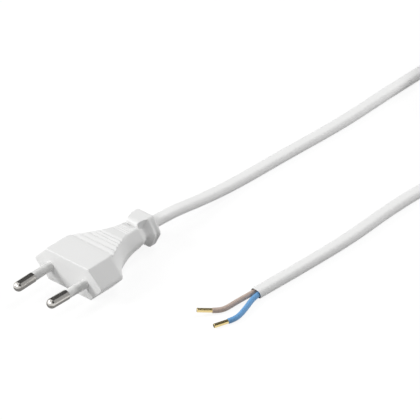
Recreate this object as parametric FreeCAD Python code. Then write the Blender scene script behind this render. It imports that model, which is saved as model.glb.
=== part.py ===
import FreeCAD, Part
import math
import os

from FreeCAD import Vector

# A flat two-pin mains plug moulded onto a flat two-core lead, with a bare far end.
# Millimetres. +Z is up, the pins point along -Y and the lead leaves along +Y.
# Depths along the plug are counted from its engagement face.

# Pins
pin_diameter = 4.0
pin_length = 19.0
pin_spacing_face = 18.6
pin_spacing_tip = 17.5
pin_core_diameter = 2.8
pin_sleeve_diameter = 3.6
pin_sleeve_length = 9.5
pin_recess_gap = 0.2
pin_recess_depth = 0.4
pin_flange_diameter = 5.0
pin_flange_length = 1.5
pin_shank_diameter = 3.2
pin_shank_length = 1.5
crimp_diameter = 3.0
crimp_length = 4.5
crimp_bore_depth = 4.0

# Bridge that carries both pins inside the moulding
bridge_depth = 1.6
bridge_length = 5.0
bridge_width = 27.0
bridge_height = 7.6
bridge_edge_round = 1.2

# Moulded body, from front to rear a block, a grip, a neck, a flare and a rim
block_length = 11.4
grip_length = 21.6
neck_length = 2.8
flare_length = 3.6
rim_length = 2.6
body_width = 35.3
body_height = 13.7
body_flat_width = 22.4
body_side_round = 1.2
body_flat_round = 1.0
face_round = 0.4
neck_width = 13.4
neck_flat_width = 7.2
neck_height = 9.1
neck_side_round = 2.2
neck_flat_round = 1.5
side_sweep = 2.75
flat_bend = 1.35
flat_sweep = 2.0
grip_steps = 8

# Grip ribs across both broad faces
rib_setback = 1.4
rib_land = 0.5
wide_rib_pitch = 2.95
wide_rib_count = 2
wide_rib_drop = 0.85
narrow_rib_pitch = 1.88
narrow_rib_count = 3
narrow_rib_drop = 0.6
fine_rib_run = 5.0
fine_rib_pitch = 1.05
fine_rib_count = 4
fine_rib_drop = 0.28
fine_rib_width = 0.6

# The flare swells into the rim round the lead
flare_sweep = 1.8
rim_width = 15.1
rim_height = 12.8
rim_flat_width = 8.4
rim_side_round = 2.6
rim_flat_round = 1.4
rim_rear_round = 1.1
flare_steps = 3

# Raised pad on top of the neck, with a small groove before it
pad_setback = 0.5
pad_top = 6.35
pad_sink = 0.6
pad_front_half = 1.0
pad_rear_half = 3.9
pad_bend = 0.7
pad_front_foot_half = 2.2
pad_foot_run = 2.0
pad_groove_length = 0.7
pad_groove_drop = 0.8
pad_groove_half = 1.9
pad_steps = 5

# Flat lead and its two cores
cord_width = 5.6
cord_thickness = 3.5
core_diameter = 2.1
core_gap = 0.1
conductor_diameter = 1.1
jacket_grip = 9.0
jacket_wall = 0.55
jacket_pocket_depth = 3.0
inner_core_straight = 4.0
inner_core_end_straight = 2.8
bare_core_straight = 4.8
arc_share = 0.45

# End sleeves on the bare end
end_sleeve_diameter = 1.7
end_sleeve_length = 5.8
end_sleeve_recess = 0.6

# Coil of the put-away length: its turns stand on edge, wound inwards below and outwards above
coil_mean_radius = 28.2
coil_turn_pitch = 3.7
coil_turns = 6.5
coil_layers = 2
coil_edge_round = 1.4
coil_tail = 22.0
coil_entry_x = 1.9
coil_centre_y = 206.5
tie_width = 4.0
tie_thickness = 1.0
tie_corner_round = 1.6

# How far a cut reaches past the surface that it leaves through
cut_margin = 1.0

# Where things lie, worked out from the sizes above
neck_depth = block_length + grip_length
flare_depth = neck_depth + neck_length
rim_depth = flare_depth + flare_length
body_length = rim_depth + rim_length
pad_depth = neck_depth + pad_setback
face_y = (pin_length - body_length) / 2
mid_z = body_height / 2
exit_y = face_y + body_length
cord_z = cord_thickness / 2
core_z = core_diameter / 2
core_offset = (core_diameter + core_gap) / 2
jacket_y = exit_y - jacket_grip
pin_lean = math.atan2((pin_spacing_face - pin_spacing_tip) / 2, pin_length)
coil_travel = coil_turn_pitch * coil_turns / coil_layers
coil_section_width = coil_travel + cord_thickness
coil_height = coil_layers * cord_width
coil_outer_turn = coil_mean_radius + coil_travel / 2

# The lead's route, chosen by hand: from the plug to the coil, and from the coil to the bare end
coil_centre = Vector(coil_entry_x + coil_outer_turn, coil_centre_y, 0)
coil_exit_x = coil_centre.x + coil_outer_turn
coil_tail_y = coil_centre.y - coil_tail
plug_run = [
    Vector(0, jacket_y, mid_z),
    Vector(0, 40.0, mid_z),
    Vector(0.1, 59.0, 3.6),
    Vector(0.2, 77.5, cord_z),
    Vector(1.1, 104.0, cord_z),
    Vector(2.9, 134.0, cord_z),
    Vector(coil_entry_x, 162.0, cord_z),
    Vector(coil_entry_x, coil_tail_y, cord_z),
]
free_run = [
    Vector(coil_exit_x, coil_tail_y, cord_z),
    Vector(coil_exit_x, 170.0, cord_z),
    Vector(64.0, 148.0, cord_z),
    Vector(59.0, 126.0, cord_z),
    Vector(58.2, 102.0, cord_z),
    Vector(59.9, 79.0, cord_z),
    Vector(59.1, 53.0, cord_z),
    Vector(57.7, 28.9, cord_z),
]
jacket_end = free_run[-1]
jacket_way = (free_run[-1] - free_run[-2]).normalize()
jacket_side = Vector(-jacket_way.y, jacket_way.x, 0)
pocket_floor = jacket_end - jacket_way * jacket_pocket_depth
brown_run = [
    pocket_floor - jacket_side * core_offset,
    pocket_floor - jacket_side * core_offset + jacket_way * bare_core_straight,
    Vector(55.5, 20.6, 1.3),
    Vector(55.2, 15.8, core_z),
    Vector(54.1, 12.9, core_z),
    Vector(52.5, 11.05, 1.4),
]
blue_run = [
    pocket_floor + jacket_side * core_offset,
    pocket_floor + jacket_side * core_offset + jacket_way * bare_core_straight,
    Vector(60.9, 20.4, 1.3),
    Vector(62.3, 15.3, core_z),
    Vector(62.3, 12.1, core_z),
    Vector(61.55, 10.0, core_z),
]


def corner_arc(before, corner, after, radius):
    to_before = (before - corner).normalize()
    to_after = (after - corner).normalize()
    half = to_before.getAngle(to_after) / 2
    inward = (to_before + to_after).normalize()
    reach = radius / math.tan(half)
    middle = corner + inward * (radius / math.sin(half) - radius)
    return corner + to_before * reach, middle, corner + to_after * reach


def rounded_loop(corners, radii):
    count = len(corners)
    arcs = []
    for i in range(count):
        arcs.append(corner_arc(corners[i - 1], corners[i], corners[(i + 1) % count], radii[i]))
    edges = []
    for i in range(count):
        edges.append(Part.LineSegment(arcs[i - 1][2], arcs[i][0]).toShape())
        edges.append(Part.Arc(*arcs[i]).toShape())
    return Part.Wire(edges)


def cylinder(radius, start, way, length):
    return Part.makeCylinder(radius, length, start, way)


def join(solids):
    return solids[0].fuse(solids[1:]).removeSplitter() if len(solids) > 1 else solids[0]


# A route is straight runs joined by the largest tangent arcs that its runs leave room for
def route_wire(points):
    edges = []
    radii = []
    start = points[0]
    for before, corner, after in zip(points, points[1:], points[2:]):
        shorter = min((corner - before).Length, (after - corner).Length)
        turn = (corner - before).getAngle(after - corner)
        radius = arc_share * shorter / math.tan(turn / 2)
        arc = corner_arc(before, corner, after, radius)
        edges.append(Part.LineSegment(start, arc[0]).toShape())
        edges.append(Part.Arc(*arc).toShape())
        radii.append(radius)
        start = arc[2]
    edges.append(Part.LineSegment(start, points[-1]).toShape())
    return Part.Wire(edges), radii


def stadium_wire(centre, way, width, thickness):
    side = Vector(-way.y, way.x, 0)
    up = Vector(0, 0, 1)
    reach = (width - thickness) / 2
    r = thickness / 2
    right = centre + side * reach
    left = centre - side * reach
    return Part.Wire([
        Part.LineSegment(left + up * r, right + up * r).toShape(),
        Part.Arc(right + up * r, right + side * r, right - up * r).toShape(),
        Part.LineSegment(right - up * r, left - up * r).toShape(),
        Part.Arc(left - up * r, left - side * r, left + up * r).toShape(),
    ])


def swept(wire, profile, keeps_level):
    shell = Part.BRepOffsetAPI.MakePipeShell(wire)
    if keeps_level:
        shell.setBiNormalMode(Vector(0, 0, 1))
    shell.add(profile)
    shell.build()
    shell.makeSolid()
    return Part.Solid(shell.shape())


def report_tube(name, solid, profile, wire, radii):
    expected = Part.Face(profile).Area * wire.Length
    print(name, "length", round(wire.Length, 1), "volume share", round(solid.Volume / expected, 4))
    print(name, "radii", [round(r, 1) for r in radii])


def flat_tube(name, points):
    wire, radii = route_wire(points)
    way = (points[1] - points[0]).normalize()
    profile = stadium_wire(points[0], way, cord_width, cord_thickness)
    solid = swept(wire, profile, True)
    report_tube(name, solid, profile, wire, radii)
    return solid


def round_tube(name, points, diameter):
    wire, radii = route_wire(points)
    way = (points[1] - points[0]).normalize()
    profile = Part.Wire(Part.makeCircle(diameter / 2, points[0], way))
    solid = swept(wire, profile, False)
    report_tube(name, solid, profile, wire, radii)
    return solid


# Six-sided section with rounded corners, the moulding's form from face to rim.
# Its side corners stand out so far that their rounding just reaches the full width.
def hex_wire(depth, width, flat, height, side_round, flat_round):
    half_f = flat / 2
    half_h = height / 2
    reach = width / 2 - half_f - side_round
    keep = 1 - (side_round / half_h) ** 2
    side = half_f + (reach + math.sqrt(reach ** 2 - keep * (reach ** 2 - side_round ** 2))) / keep
    corners = [
        (side, 0, side_round),
        (half_f, half_h, flat_round),
        (-half_f, half_h, flat_round),
        (-side, 0, side_round),
        (-half_f, -half_h, flat_round),
        (half_f, -half_h, flat_round),
    ]
    points = [Vector(x, face_y + depth, mid_z + z) for x, z, r in corners]
    return rounded_loop(points, [r for x, z, r in corners])


def blend(start, end, share):
    return start + (end - start) * share


# The grip narrows in a hollow curve: fast behind the block, then along the neck
def grip_share(depth):
    return (depth - block_length) / (neck_depth - block_length)


def top_height(depth):
    return blend(body_height, neck_height, grip_share(depth)) / 2


def grip_wire(depth):
    share = grip_share(depth)
    width = blend(neck_width, body_width, (1 - share) ** side_sweep)
    flat = blend(neck_flat_width, body_flat_width, (1 - share ** flat_bend) ** flat_sweep)
    side_round = blend(body_side_round, neck_side_round, share)
    flat_round = blend(body_flat_round, neck_flat_round, share)
    return hex_wire(depth, width, flat, top_height(depth) * 2, side_round, flat_round)


# Behind the neck the section swells again into the rim
def flare_share(depth):
    return max(0, (depth - flare_depth) / (rim_depth - flare_depth)) ** flare_sweep


def flare_wire(depth):
    share = flare_share(depth)
    return hex_wire(
        depth,
        blend(neck_width, rim_width, share),
        blend(neck_flat_width, rim_flat_width, share),
        blend(neck_height, rim_height, share),
        blend(neck_side_round, rim_side_round, share),
        blend(neck_flat_round, rim_flat_round, share),
    )


def steps(start, end, count):
    return [blend(start, end, i / count) for i in range(count + 1)]


def make_block():
    front = grip_wire(block_length)
    front.translate(Vector(0, -block_length, 0))
    block = Part.Face(front).extrude(Vector(0, block_length, 0))
    face_edges = [e for e in block.Edges if e.BoundBox.YMax < face_y + face_round / 2]
    return block.makeFillet(face_round, face_edges)


def make_rim():
    rim = Part.Face(flare_wire(rim_depth)).extrude(Vector(0, body_length - rim_depth, 0))
    rear_edges = [e for e in rim.Edges if e.BoundBox.YMin > exit_y - rim_rear_round / 2]
    return rim.makeFillet(rim_rear_round, rear_edges)


# The pad is narrow at its front and as wide as the rim's flat at its rear, with sloping sides
def pad_wire(depth):
    run = (depth - pad_depth) / (rim_depth - pad_depth)
    share = flare_share(depth)
    top_half = blend(pad_front_half, pad_rear_half, run ** pad_bend)
    full_half = blend(neck_flat_width, rim_flat_width, share) / 2
    foot_half = blend(pad_front_foot_half, full_half, min(1, (depth - pad_depth) / pad_foot_run))
    foot = blend(neck_height, rim_height, share) / 2 - pad_sink
    outline = [(-foot_half, foot), (foot_half, foot), (top_half, pad_top), (-top_half, pad_top)]
    points = [Vector(x, face_y + depth, mid_z + z) for x, z in outline]
    return Part.makePolygon(points + points[:1])


def make_pad():
    return Part.makeLoft([pad_wire(d) for d in steps(pad_depth, rim_depth, pad_steps)], True, True)


def make_pad_groove():
    groove_y = face_y + pad_depth - pad_groove_length
    groove_floor = mid_z + neck_height / 2 - pad_groove_drop
    corner = Vector(-pad_groove_half, groove_y, groove_floor)
    return Part.makeBox(2 * pad_groove_half, pad_groove_length, 2 * pad_groove_drop, corner)


def cross_cut(corners):
    reach = body_width / 2 + cut_margin
    points = [Vector(-reach, face_y + depth, mid_z + z) for depth, z in corners]
    face = Part.Face(Part.makePolygon(points + points[:1]))
    return face.extrude(Vector(2 * reach, 0, 0))


# Each rib falls sharply at its front and rises gently to a narrow land at its back
def rib_cut(front, pitch, drop):
    top = body_height / 2 + drop
    back = front + pitch - rib_land
    return cross_cut([(front, top), (front, top_height(front) - drop), (back, top_height(back)), (back, top)])


def fine_rib_cut(depth):
    top = top_height(depth)
    half = fine_rib_width / 2
    return cross_cut([(depth - half, top + half), (depth, top - fine_rib_drop), (depth + half, top + half)])


def make_rib_cuts():
    cuts = []
    front = block_length + rib_setback
    for i in range(wide_rib_count):
        cuts.append(rib_cut(front, wide_rib_pitch, wide_rib_drop))
        front += wide_rib_pitch
    for i in range(narrow_rib_count):
        cuts.append(rib_cut(front, narrow_rib_pitch, narrow_rib_drop))
        front += narrow_rib_pitch
    for i in range(fine_rib_count):
        cuts.append(fine_rib_cut(neck_depth - fine_rib_run + i * fine_rib_pitch))
    underside = [c.mirror(Vector(0, 0, mid_z), Vector(0, 0, 1)) for c in cuts]
    return cuts + underside


# A narrow ring round each sleeve keeps the engagement face clear of the leaning pin
def pin_recess(side):
    start = Vector(0, -pin_recess_depth, 0)
    radius = pin_sleeve_diameter / 2 + pin_recess_gap
    return set_on_pin(cylinder(radius, start, Vector(0, 1, 0), 2 * pin_recess_depth), side)


def make_body(inner_pieces):
    grip = Part.makeLoft([grip_wire(d) for d in steps(block_length, neck_depth, grip_steps)], True)
    neck = Part.Face(grip_wire(neck_depth)).extrude(Vector(0, flare_depth - neck_depth, 0))
    flare = Part.makeLoft([flare_wire(d) for d in steps(flare_depth, rim_depth, flare_steps)], True)
    body = join([make_block(), grip, neck, flare, make_rim(), make_pad()])
    recesses = [pin_recess(-1), pin_recess(1), make_pad_groove()]
    return body.cut(make_rib_cuts()).cut(inner_pieces + recesses).removeSplitter()


# Everything turned about a pin's own axis is drawn along +Y from the face, then set in place
def set_on_pin(shape, side):
    shape.rotate(Vector(0, 0, 0), Vector(0, 0, 1), -side * math.degrees(pin_lean))
    shape.translate(Vector(side * pin_spacing_face / 2, face_y, mid_z))
    return shape


def turned(stations):
    points = [Vector(radius, along, 0) for along, radius in stations]
    outline = [Vector(0, stations[0][0], 0)] + points + [Vector(0, stations[-1][0], 0)]
    face = Part.Face(Part.makePolygon(outline + outline[:1]))
    return face.revolve(Vector(0, 0, 0), Vector(0, 1, 0), 360)


flange_front = bridge_depth + bridge_length - pin_flange_length
flange_back = bridge_depth + bridge_length
crimp_start = flange_back + pin_shank_length
crimp_end = crimp_start + crimp_length


def make_pin(side):
    tip_centre = pin_diameter / 2 - pin_length
    shank = turned([
        (tip_centre, pin_diameter / 2),
        (-pin_sleeve_length, pin_diameter / 2),
        (-pin_sleeve_length, pin_core_diameter / 2),
        (flange_front, pin_core_diameter / 2),
        (flange_front, pin_flange_diameter / 2),
        (flange_back, pin_flange_diameter / 2),
        (flange_back, pin_shank_diameter / 2),
        (crimp_start, pin_shank_diameter / 2),
        (crimp_start, crimp_diameter / 2),
        (crimp_end, crimp_diameter / 2),
    ])
    tip = Part.makeSphere(pin_diameter / 2, Vector(0, tip_centre, 0))
    return set_on_pin(join([shank, tip]).cut(crimp_bore()), side)


def make_pin_sleeve(side):
    length = pin_sleeve_length + flange_front
    start = Vector(0, -pin_sleeve_length, 0)
    outer = cylinder(pin_sleeve_diameter / 2, start, Vector(0, 1, 0), length)
    inner = cylinder(pin_core_diameter / 2, start, Vector(0, 1, 0), length)
    return set_on_pin(outer.cut(inner), side)


def make_bridge(pieces_through):
    corner = Vector(-bridge_width / 2, face_y + bridge_depth, mid_z - bridge_height / 2)
    block = Part.makeBox(bridge_width, bridge_length, bridge_height, corner)
    along = [e for e in block.Edges if e.BoundBox.YLength > bridge_length / 2]
    return block.makeFillet(bridge_edge_round, along).cut(pieces_through)


def pin_point(side, along):
    out = pin_spacing_face / 2 + along * math.sin(pin_lean)
    return Vector(side * out, face_y + along * math.cos(pin_lean), mid_z)


# Inside the plug each core leaves the jacket, swings out and ends behind its pin's crimp
def inner_core_points(side):
    return [
        Vector(side * core_offset, jacket_y, mid_z),
        Vector(side * core_offset, jacket_y - inner_core_straight, mid_z),
        pin_point(side, crimp_end + inner_core_end_straight),
        pin_point(side, crimp_end),
    ]


def crimp_bore():
    start = Vector(0, crimp_end - crimp_bore_depth, 0)
    return cylinder(conductor_diameter / 2, start, Vector(0, 1, 0), crimp_bore_depth)


def make_inner_conductor(side):
    return set_on_pin(crimp_bore(), side)


# The bare end: an end sleeve closes on the strands where each core's insulation stops
def end_way(points):
    return (points[-1] - points[-2]).normalize()


def make_end_sleeve(points):
    outer = cylinder(end_sleeve_diameter / 2, points[-1], end_way(points), end_sleeve_length)
    inner = cylinder(conductor_diameter / 2, points[-1], end_way(points), end_sleeve_length)
    return outer.cut(inner)


def make_bare_conductor(points):
    length = end_sleeve_length - end_sleeve_recess
    return cylinder(conductor_diameter / 2, points[-1], end_way(points), length)


def make_jacket_pocket():
    width = cord_width - 2 * jacket_wall
    thickness = cord_thickness - 2 * jacket_wall
    profile = stadium_wire(pocket_floor, jacket_way, width, thickness)
    return Part.Face(profile).extrude(jacket_way * (jacket_pocket_depth + cut_margin))


def coil_section(inset, corner_round):
    inner = coil_mean_radius - coil_section_width / 2 + inset
    outer = coil_mean_radius + coil_section_width / 2 - inset
    low = inset
    high = coil_height - inset
    corners = [Vector(inner, 0, low), Vector(outer, 0, low), Vector(outer, 0, high), Vector(inner, 0, high)]
    return Part.Face(rounded_loop(corners, [corner_round] * 4))


def make_coil_tie():
    band = coil_section(0, tie_corner_round).cut(coil_section(tie_thickness, tie_corner_round / 2))
    tie = band.extrude(Vector(0, tie_width, 0))
    tie.translate(coil_centre + Vector(0, -tie_width / 2, 0))
    tie.rotate(coil_centre, Vector(0, 0, 1), 90)
    return tie


def make_coil(tie):
    ring = coil_section(0, coil_edge_round).revolve(Vector(0, 0, 0), Vector(0, 0, 1), 360)
    ring.translate(coil_centre)
    tails = []
    for x in (coil_entry_x, coil_exit_x):
        profile = stadium_wire(Vector(x, coil_tail_y, cord_z), Vector(0, 1, 0), cord_width, cord_thickness)
        tails.append(Part.Face(profile).extrude(Vector(0, coil_tail, 0)))
    return join([ring] + tails).cut(tie)


pins = {"line_pin": make_pin(-1), "neutral_pin": make_pin(1)}
sleeves = {"line_pin_sleeve": make_pin_sleeve(-1), "neutral_pin_sleeve": make_pin_sleeve(1)}
bridge = make_bridge(list(pins.values()) + list(sleeves.values()))
inner_cores = {
    "brown_core_in_plug": round_tube("brown_core_in_plug", inner_core_points(-1), core_diameter),
    "blue_core_in_plug": round_tube("blue_core_in_plug", inner_core_points(1), core_diameter),
}
inner_conductors = {
    "line_conductor_in_crimp": make_inner_conductor(-1),
    "neutral_conductor_in_crimp": make_inner_conductor(1),
}
cord_plug_run = flat_tube("cord_plug_run", plug_run)
cord_free_run = flat_tube("cord_free_run", free_run).cut(make_jacket_pocket())
coil_tie = make_coil_tie()

inner_pieces = list(pins.values()) + list(sleeves.values()) + list(inner_cores.values())
nodes = {"plug_body": make_body(inner_pieces + list(inner_conductors.values()) + [bridge, cord_plug_run])}
nodes["pin_bridge"] = bridge
nodes.update(pins)
nodes.update(sleeves)
nodes.update(inner_cores)
nodes.update(inner_conductors)
nodes["cord_plug_run"] = cord_plug_run
nodes["cord_coil"] = make_coil(coil_tie)
nodes["coil_tie"] = coil_tie
nodes["cord_free_run"] = cord_free_run
nodes["brown_core"] = round_tube("brown_core", brown_run, core_diameter)
nodes["blue_core"] = round_tube("blue_core", blue_run, core_diameter)
nodes["brown_conductor"] = make_bare_conductor(brown_run)
nodes["blue_conductor"] = make_bare_conductor(blue_run)
nodes["brown_end_sleeve"] = make_end_sleeve(brown_run)
nodes["blue_end_sleeve"] = make_end_sleeve(blue_run)

os.makedirs("parts", exist_ok=True)
for name, solid in nodes.items():
    solid.exportStep("parts/" + name + ".step")
    print(name, "solids", len(solid.Solids), "valid", solid.isValid(), "volume", round(solid.Volume, 2))
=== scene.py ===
import math
from functools import partial

import bmesh
import bpy
from mathutils import Matrix, Vector


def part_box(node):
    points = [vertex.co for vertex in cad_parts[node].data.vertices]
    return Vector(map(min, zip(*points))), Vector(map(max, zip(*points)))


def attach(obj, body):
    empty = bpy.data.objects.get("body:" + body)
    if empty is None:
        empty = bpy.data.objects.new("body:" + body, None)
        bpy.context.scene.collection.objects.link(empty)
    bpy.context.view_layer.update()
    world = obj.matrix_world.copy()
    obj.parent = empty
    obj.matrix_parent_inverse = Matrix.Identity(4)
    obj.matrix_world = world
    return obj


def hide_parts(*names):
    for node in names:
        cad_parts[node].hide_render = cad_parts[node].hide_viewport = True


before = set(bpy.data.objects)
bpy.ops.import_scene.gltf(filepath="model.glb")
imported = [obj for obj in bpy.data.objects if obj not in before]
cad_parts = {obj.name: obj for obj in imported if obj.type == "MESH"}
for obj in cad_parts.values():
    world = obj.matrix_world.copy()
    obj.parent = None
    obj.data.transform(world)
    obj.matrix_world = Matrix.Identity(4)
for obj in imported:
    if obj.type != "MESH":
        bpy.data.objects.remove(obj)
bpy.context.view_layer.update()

scene = bpy.context.scene
scene.view_settings.view_transform = "Standard"
mm = 0.001                                  # shapes are drawn in millimetres, meshes are in metres

bodyLow, bodyHigh = (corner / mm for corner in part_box("plug_body"))
faceY = bodyLow.y                           # engagement face
exitY = bodyHigh.y                          # rear of the rim, where the lead comes out
midZ = (bodyLow.z + bodyHigh.z) / 2


# Small helpers for numbers

def between(a, b, share):
    return a + (b - a) * share


def clamp(share):
    return min(1.0, max(0.0, share))


def softStep(share):
    share = clamp(share)
    return share * share * (3 - 2 * share)


# Small helpers for meshes

def linkMesh(name, mesh):
    obj = bpy.data.objects.new(name, mesh)
    scene.collection.objects.link(obj)
    return obj


def smoothMesh(mesh, sharpAngle):
    for face in mesh.polygons:
        face.use_smooth = True
    mesh.set_sharp_from_angle(angle=math.radians(sharpAngle))


# Rings of points become a skin; "along" gives a UV with u round the ring and v along it in metres
def ringsToMesh(name, rings, capStart=True, capEnd=True, loopRings=False, along=None, sharpAngle=40):
    bm = bmesh.new()
    uvLayer = bm.loops.layers.uv.new("skinUv") if along else None
    rows = [[bm.verts.new(Vector(p) * mm) for p in ring] for ring in rings]
    count = len(rings[0])
    pairs = list(zip(range(len(rows)), range(1, len(rows))))
    if loopRings:
        pairs.append((len(rows) - 1, 0))
    for a, b in pairs:
        for j in range(count):
            k = (j + 1) % count
            face = bm.faces.new((rows[a][j], rows[a][k], rows[b][k], rows[b][j]))
            if uvLayer:
                spots = ((j, a), (j + 1, a), (j + 1, b), (j, b))
                for loop, (u, v) in zip(face.loops, spots):
                    loop[uvLayer].uv = (u / count, along[v])
    if capStart:
        bm.faces.new(list(reversed(rows[0])))
    if capEnd:
        bm.faces.new(rows[-1])
    bmesh.ops.recalc_face_normals(bm, faces=bm.faces)
    mesh = bpy.data.meshes.new(name)
    bm.to_mesh(mesh)
    bm.free()
    smoothMesh(mesh, sharpAngle)
    return linkMesh(name, mesh)


# A turned piece: (along, radius) stations spun about +Y
def turnedRings(stations, segments):
    rings = []
    for along, radius in stations:
        spots = [2 * math.pi * i / segments for i in range(segments)]
        rings.append([Vector((radius * math.cos(a), along, radius * math.sin(a))) for a in spots])
    return rings


def mergeDoubles(obj, distance):
    bm = bmesh.new()
    bm.from_mesh(obj.data)
    bmesh.ops.remove_doubles(bm, verts=bm.verts, dist=distance)
    bmesh.ops.recalc_face_normals(bm, faces=bm.faces)
    bm.to_mesh(obj.data)
    bm.free()


def bakeModifiers(obj):
    graph = bpy.context.evaluated_depsgraph_get()
    baked = bpy.data.meshes.new_from_object(obj.evaluated_get(graph))
    obj.modifiers.clear()
    old = obj.data
    obj.data = baked
    bpy.data.meshes.remove(old)


# A route's control points go into a NURBS spline, and its own points come back
def splineLine(controls, resolution):
    curve = bpy.data.curves.new("routeLine", "CURVE")
    curve.dimensions = "3D"
    curve.resolution_u = resolution
    spline = curve.splines.new("NURBS")
    spline.points.add(len(controls) - 1)
    for point, spot in zip(spline.points, controls):
        point.co = (*spot, 1.0)
    spline.order_u = 3
    spline.use_endpoint_u = True
    holder = bpy.data.objects.new("routeLine", curve)
    mesh = bpy.data.meshes.new_from_object(holder)
    line = [v.co.copy() for v in mesh.vertices]
    bpy.data.meshes.remove(mesh)
    bpy.data.objects.remove(holder)
    bpy.data.curves.remove(curve)
    return line


def lineLengths(line):
    total = 0.0
    lengths = [0.0]
    for a, b in zip(line, line[1:]):
        total += (b - a).length
        lengths.append(total)
    return lengths


def tangents(line):
    ways = []
    for i in range(len(line)):
        ways.append((line[min(i + 1, len(line) - 1)] - line[max(i - 1, 0)]).normalized())
    return ways


# Two directions across a way: one level, one upwards
def crossAxes(way):
    side = Vector((way.y, -way.x, 0)).normalized()
    return side, side.cross(way)


# Small helpers for nodes

# A value is plain, a socket, or a node that stands for its first output
def feed(tree, value, socket):
    if isinstance(value, bpy.types.Node):
        value = value.outputs[0]
    if isinstance(value, bpy.types.NodeSocket):
        tree.links.new(value, socket)
    else:
        socket.default_value = value


def addNode(tree, kind, inputs=None, **settings):
    node = tree.nodes.new(kind)
    for key, value in settings.items():
        setattr(node, key, value)
    for key, value in (inputs or {}).items():
        feed(tree, value, node.inputs[key])
    return node


def mathNode(tree, operation, *values):
    return addNode(tree, "ShaderNodeMath", dict(enumerate(values)), operation=operation).outputs[0]


def mixColour(tree, factor, a, b):
    node = addNode(tree, "ShaderNodeMix", {0: factor, 6: a, 7: b}, data_type="RGBA")
    return node.outputs[2]


def mixValue(tree, factor, a, b):
    return addNode(tree, "ShaderNodeMix", {0: factor, 2: a, 3: b}, data_type="FLOAT").outputs[0]


socketKinds = {float: "Float", int: "Int", tuple: "Color"}


# An input is given by its default, or by the name of a socket kind that needs none;
# what comes back is the tree, two makers of its nodes, and its inputs and outputs
def groupTree(name, kind, ins, outs):
    tree = bpy.data.node_groups.new(name, kind)
    for label, value in ins.items():
        named = isinstance(value, str)
        socketType = "NodeSocket" + (value if named else socketKinds[type(value)])
        socket = tree.interface.new_socket(label, in_out="INPUT", socket_type=socketType)
        if not named:
            socket.default_value = value
    for label, socketKind in outs.items():
        tree.interface.new_socket(label, in_out="OUTPUT", socket_type="NodeSocket" + socketKind)
    sources = tree.nodes.new("NodeGroupInput").outputs
    targets = tree.nodes.new("NodeGroupOutput").inputs
    return tree, partial(addNode, tree), partial(mathNode, tree), sources, targets


def shapeTree(name, ins):
    return groupTree(name, "GeometryNodeTree", {**ins, "Material": "Material"}, {"Geometry": "Geometry"})


# Each geometry tree ends with real geometry in its own material
def closeTree(tree, ins, outs, geometry):
    real = addNode(tree, "GeometryNodeRealizeInstances", {0: geometry})
    coated = addNode(tree, "GeometryNodeSetMaterial", {"Geometry": real, "Material": ins["Material"]})
    feed(tree, coated, outs["Geometry"])
    return tree


# A geometry tree as a modifier, with its inputs set by their identifiers
def addTree(obj, tree, values):
    modifier = obj.modifiers.new(tree.name, "NODES")
    modifier.node_group = tree
    for item in tree.interface.items_tree:
        if item.item_type == "SOCKET" and item.in_out == "INPUT" and item.name in values:
            modifier[item.identifier] = values[item.name]


# Shared surface effects

effectOuts = {"Color": "Color", "Roughness": "Float", "Height": "Float"}


def makeMouldGrain():
    tree, add, _, ins, outs = groupTree("mouldGrain", "ShaderNodeTree", {
        "Vector": "Vector", "Grain Scale": 3000.0, "Mottle Scale": 120.0, "Pale": (0.86, 0.86, 0.86, 1),
        "Deep": (0.82, 0.82, 0.82, 1), "Smooth": 0.35, "Rough": 0.5}, effectOuts)
    grain = add("ShaderNodeTexNoise", {
        "Vector": ins["Vector"], "Scale": ins["Grain Scale"], "Detail": 3.0, "Roughness": 0.6})
    mottle = add("ShaderNodeTexNoise", {
        "Vector": ins["Vector"], "Scale": ins["Mottle Scale"], "Detail": 2.0})
    feed(tree, mixColour(tree, mottle.outputs["Fac"], ins["Pale"], ins["Deep"]), outs["Color"])
    both = mixValue(tree, 0.5, grain.outputs["Fac"], mottle.outputs["Fac"])
    feed(tree, mixValue(tree, both, ins["Smooth"], ins["Rough"]), outs["Roughness"])
    feed(tree, grain.outputs["Fac"], outs["Height"])
    return tree


def makeDrawnLines():
    tree, add, calc, ins, outs = groupTree("drawnLines", "ShaderNodeTree", {
        "Vector": "Vector", "Across": 60.0, "Along": 20.0, "Pale": (0.86, 0.86, 0.86, 1),
        "Deep": (0.8, 0.8, 0.8, 1), "Smooth": 0.3, "Rough": 0.45}, effectOuts)
    parts = add("ShaderNodeSeparateXYZ", {0: ins["Vector"]}).outputs
    turn = calc("MULTIPLY", parts["X"], 2 * math.pi)
    ringX = calc("MULTIPLY", calc("COSINE", turn), ins["Across"])
    ringY = calc("MULTIPLY", calc("SINE", turn), ins["Across"])
    runZ = calc("MULTIPLY", parts["Y"], ins["Along"])
    spot = add("ShaderNodeCombineXYZ", {0: ringX, 1: ringY, 2: runZ})
    lines = add("ShaderNodeTexNoise", {"Vector": spot, "Scale": 1.0, "Detail": 3.0})
    feed(tree, mixColour(tree, lines.outputs["Fac"], ins["Pale"], ins["Deep"]), outs["Color"])
    feed(tree, mixValue(tree, lines.outputs["Fac"], ins["Smooth"], ins["Rough"]), outs["Roughness"])
    feed(tree, lines.outputs["Fac"], outs["Height"])
    return tree


mouldGrain = makeMouldGrain()
drawnLines = makeDrawnLines()


def startMaterial(name):
    material = bpy.data.materials.new(name)
    material.use_nodes = True
    tree = material.node_tree
    return material, tree, tree.nodes["Principled BSDF"]


effectScales = {"grain": "Grain Scale", "mottle": "Mottle Scale", "across": "Across", "along": "Along"}


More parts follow.
